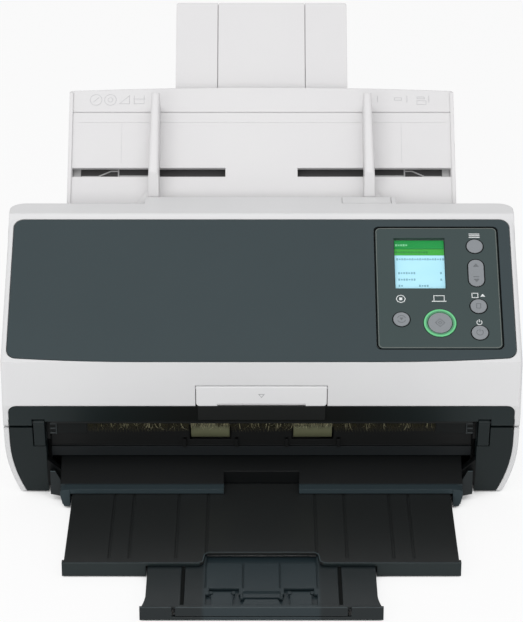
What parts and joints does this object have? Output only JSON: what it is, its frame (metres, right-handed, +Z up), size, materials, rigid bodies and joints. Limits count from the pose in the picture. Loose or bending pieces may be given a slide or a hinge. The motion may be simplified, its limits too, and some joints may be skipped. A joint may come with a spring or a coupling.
{
  "type": "document scanner",
  "caption": "Desktop sheet-fed scanner with a flip-up cover, sloping feed chute, side guides, operator panel and pull-out stacker.",
  "frame": {"origin": "on the table, under the middle of the whole part with the stacker and the chute out", "axes": "+X to the right, +Y to the rear, +Z up; the stacker comes out towards -Y"},
  "size_m": [0.3, 0.3602, 0.2344],
  "materials": {
    "white_plastic": "light grey-white moulded plastic, fine satin grain",
    "panel_plastic": "dark slate plastic, semi-gloss",
    "dark_plastic": "near-black moulded plastic, fine grain",
    "cheek_plastic": "dark green-grey moulded plastic",
    "tray_plastic": "charcoal moulded plastic, fine grain",
    "black_plastic": "black plastic",
    "button_plastic": "mid grey satin plastic",
    "green_light": "translucent green plastic",
    "clear_window": "clear window",
    "screen": "pale blue lit display",
    "board": "green circuit board",
    "bristle": "dark strip with golden conductive bristles",
    "scan_glass": "clear scan glass",
    "grey_rubber": "dark grey ground rubber",
    "khaki_rubber": "khaki ground rubber",
    "belt_rubber": "black belt rubber",
    "foot_rubber": "dark grey soft rubber",
    "white_roller": "white acetal",
    "steel": "plain zinc-plated steel",
    "motor_metal": "pressed steel can",
    "port_metal": "nickel-plated shells"
  },
  "bodies": {
    "base": {"bottom_plate": "dark_plastic", "left_side_cover": "white_plastic", "right_side_cover": "white_plastic", "rear_cover": "white_plastic", "front_cheeks": "cheek_plastic", "hinge_caps": "cheek_plastic", "hinge_pins": "steel", "exit_floor": "dark_plastic", "lower_paper_guide": "dark_plastic", "lower_scan_glass": "scan_glass", "lower_scan_unit": "black_plastic", "chassis_plates": "steel", "drive_motor": "motor_metal", "drive_belt": "belt_rubber", "main_board": "board", "data_ports": "port_metal", "dc_jack": "black_plastic", "rubber_feet": "foot_rubber", "case_screws": "steel", "chute_plate": "white_plastic", "chute_back": "white_plastic"},
    "cover": {"top_shell": "white_plastic", "front_panel": "panel_plastic", "operator_bezel": "panel_plastic", "scan_light_ring": "green_light", "lcd_window": "clear_window", "lcd_module": "screen", "panel_board": "board", "exit_strip": "dark_plastic", "discharge_brush": "bristle", "inner_guide": "dark_plastic", "upper_scan_glass": "scan_glass", "upper_scan_unit": "black_plastic"},
    "menu_button": {"menu_button": "button_plastic"},
    "manual_feed_button": {"manual_feed_button": "button_plastic"},
    "power_button": {"power_button": "button_plastic"},
    "stop_button": {"stop_button": "button_plastic"},
    "scan_button": {"scan_button": "button_plastic"},
    "scroll_rocker": {"scroll_rocker": "button_plastic"},
    "front_flap": {"front_flap": "white_plastic"},
    "release_tab": {"release_tab": "white_plastic"},
    "brake_roller": {"brake_roller": "grey_rubber"},
    "drive_idler": {"drive_idler": "white_roller"},
    "eject_idler": {"eject_idler": "white_roller"},
    "pick_roller": {"pick_shaft": "steel", "pick_tyres": "khaki_rubber"},
    "feed_roller": {"feed_roller": "grey_rubber"},
    "drive_roller": {"drive_roller": "grey_rubber"},
    "eject_roller": {"eject_shaft": "steel", "eject_tyres": "khaki_rubber"},
    "motor_pulley": {"motor_pulley": "white_roller"},
    "left_side_guide": {"left_side_guide": "white_plastic"},
    "right_side_guide": {"right_side_guide": "white_plastic"},
    "guide_pinion": {"guide_pinion": "white_roller"},
    "chute_extension": {"chute_extension": "white_plastic"},
    "chute_inner_extension": {"chute_inner_extension": "white_plastic"},
    "stacker_tray": {"stacker_tray": "tray_plastic"},
    "stacker_extension": {"stacker_extension": "tray_plastic"},
    "stacker_end": {"stacker_end": "tray_plastic"},
    "stopper": {"stopper": "tray_plastic"}
  },
  "joints": [
    {"name": "cover_hinge", "type": "hinge", "parent": "base", "child": "cover", "pos_m": [0, -0.04241, 0.0515], "axis": [1, 0, 0], "range_deg": [0, 55]},
    {"name": "menu_button_press", "type": "slide", "parent": "cover", "child": "menu_button", "axis": [0, 0.5327, -0.8463], "range_m": [0, 0.0005], "stiffness_N_per_m": 2500, "springref_m": -0.0002},
    {"name": "manual_feed_button_press", "type": "slide", "parent": "cover", "child": "manual_feed_button", "axis": [0, 0.5327, -0.8463], "range_m": [0, 0.0005], "stiffness_N_per_m": 2500, "springref_m": -0.0002},
    {"name": "power_button_press", "type": "slide", "parent": "cover", "child": "power_button", "axis": [0, 0.5327, -0.8463], "range_m": [0, 0.0005], "stiffness_N_per_m": 2500, "springref_m": -0.0002},
    {"name": "stop_button_press", "type": "slide", "parent": "cover", "child": "stop_button", "axis": [0, 0.5327, -0.8463], "range_m": [0, 0.0005], "stiffness_N_per_m": 2500, "springref_m": -0.0002},
    {"name": "scan_button_press", "type": "slide", "parent": "cover", "child": "scan_button", "axis": [0, 0.5327, -0.8463], "range_m": [0, 0.0005], "stiffness_N_per_m": 2500, "springref_m": -0.0002},
    {"name": "scroll_rocker_tilt", "type": "hinge", "parent": "cover", "child": "scroll_rocker", "pos_m": [0.1258, 0.00651, 0.12166], "axis": [1, 0, 0], "range_deg": [-2.5, 2.5], "stiffness_Nm_per_rad": 0.4},
    {"name": "front_flap_hinge", "type": "hinge", "parent": "cover", "child": "front_flap", "pos_m": [0, -0.04658, 0.0756], "axis": [-1, 0, 0], "range_deg": [0, 18], "stiffness_Nm_per_rad": 0.01, "springref_deg": -20.05},
    {"name": "release_tab_lift", "type": "hinge", "parent": "cover", "child": "release_tab", "pos_m": [0, 0.05742, 0.1472], "axis": [1, 0, 0], "range_deg": [0, 12], "stiffness_Nm_per_rad": 0.1, "springref_deg": -5.73},
    {"name": "brake_roller_spin", "type": "hinge", "parent": "cover", "child": "brake_roller", "pos_m": [0, 0.02387, 0.11037], "axis": [1, 0, 0], "continuous": true},
    {"name": "drive_idler_spin", "type": "hinge", "parent": "cover", "child": "drive_idler", "pos_m": [0, 0.01227, 0.093], "axis": [1, 0, 0], "continuous": true},
    {"name": "eject_idler_spin", "type": "hinge", "parent": "cover", "child": "eject_idler", "pos_m": [0, -0.03351, 0.05515], "axis": [1, 0, 0], "continuous": true},
    {"name": "drive_roller_spin", "type": "hinge", "parent": "base", "child": "drive_roller", "pos_m": [0, 0.02017, 0.08344], "axis": [1, 0, 0], "continuous": true},
    {"name": "pick_roller_spin", "type": "hinge", "parent": "base", "child": "pick_roller", "pos_m": [0, 0.06295, 0.11597], "axis": [1, 0, 0], "continuous": true},
    {"name": "feed_roller_spin", "type": "hinge", "parent": "base", "child": "feed_roller", "pos_m": [0, 0.03814, 0.0931], "axis": [1, 0, 0], "continuous": true},
    {"name": "eject_roller_spin", "type": "hinge", "parent": "base", "child": "eject_roller", "pos_m": [0, -0.0237, 0.04328], "axis": [1, 0, 0], "continuous": true},
    {"name": "motor_spin", "type": "hinge", "parent": "base", "child": "motor_pulley", "pos_m": [0, 0.05892, 0.047], "axis": [1, 0, 0], "continuous": true},
    {"name": "left_guide_slide", "type": "slide", "parent": "base", "child": "left_side_guide", "axis": [-1, 0, 0], "range_m": [-0.036, 0.0465]},
    {"name": "right_guide_slide", "type": "slide", "parent": "base", "child": "right_side_guide", "axis": [1, 0, 0], "range_m": [-0.036, 0.0465]},
    {"name": "guide_pinion_turn", "type": "hinge", "parent": "base", "child": "guide_pinion", "pos_m": [0, 0.08954, 0.15373], "axis": [0, -0.7071, 0.7071], "range_deg": [-230, 297]},
    {"name": "chute_extension_slide", "type": "slide", "parent": "base", "child": "chute_extension", "axis": [0, 0.7071, 0.7071], "range_m": [-0.06, 0]},
    {"name": "chute_inner_extension_slide", "type": "slide", "parent": "chute_extension", "child": "chute_inner_extension", "axis": [0, 0.7071, 0.7071], "range_m": [0, 0.05]},
    {"name": "stacker_tray_slide", "type": "slide", "parent": "base", "child": "stacker_tray", "axis": [0, -1, 0], "range_m": [-0.08, 0]},
    {"name": "stacker_extension_slide", "type": "slide", "parent": "stacker_tray", "child": "stacker_extension", "axis": [0, -1, 0], "range_m": [-0.038, 0]},
    {"name": "stacker_end_slide", "type": "slide", "parent": "stacker_extension", "child": "stacker_end", "axis": [0, -1, 0], "range_m": [0, 0.034]},
    {"name": "stopper_hinge", "type": "hinge", "parent": "stacker_end", "child": "stopper", "pos_m": [0, -0.16108, 0.0055], "axis": [-1, 0, 0], "range_deg": [0, 90]}
  ],
  "couplings": [
    {"joint": "pick_roller_spin", "follows": "drive_roller_spin", "ratio": 1},
    {"joint": "feed_roller_spin", "follows": "drive_roller_spin", "ratio": 0.68627},
    {"joint": "eject_roller_spin", "follows": "drive_roller_spin", "ratio": 1},
    {"joint": "motor_spin", "follows": "drive_roller_spin", "ratio": 1},
    {"joint": "right_guide_slide", "follows": "left_guide_slide", "ratio": 1},
    {"joint": "guide_pinion_turn", "follows": "left_guide_slide", "rad_per_m": 111.11}
  ]
}
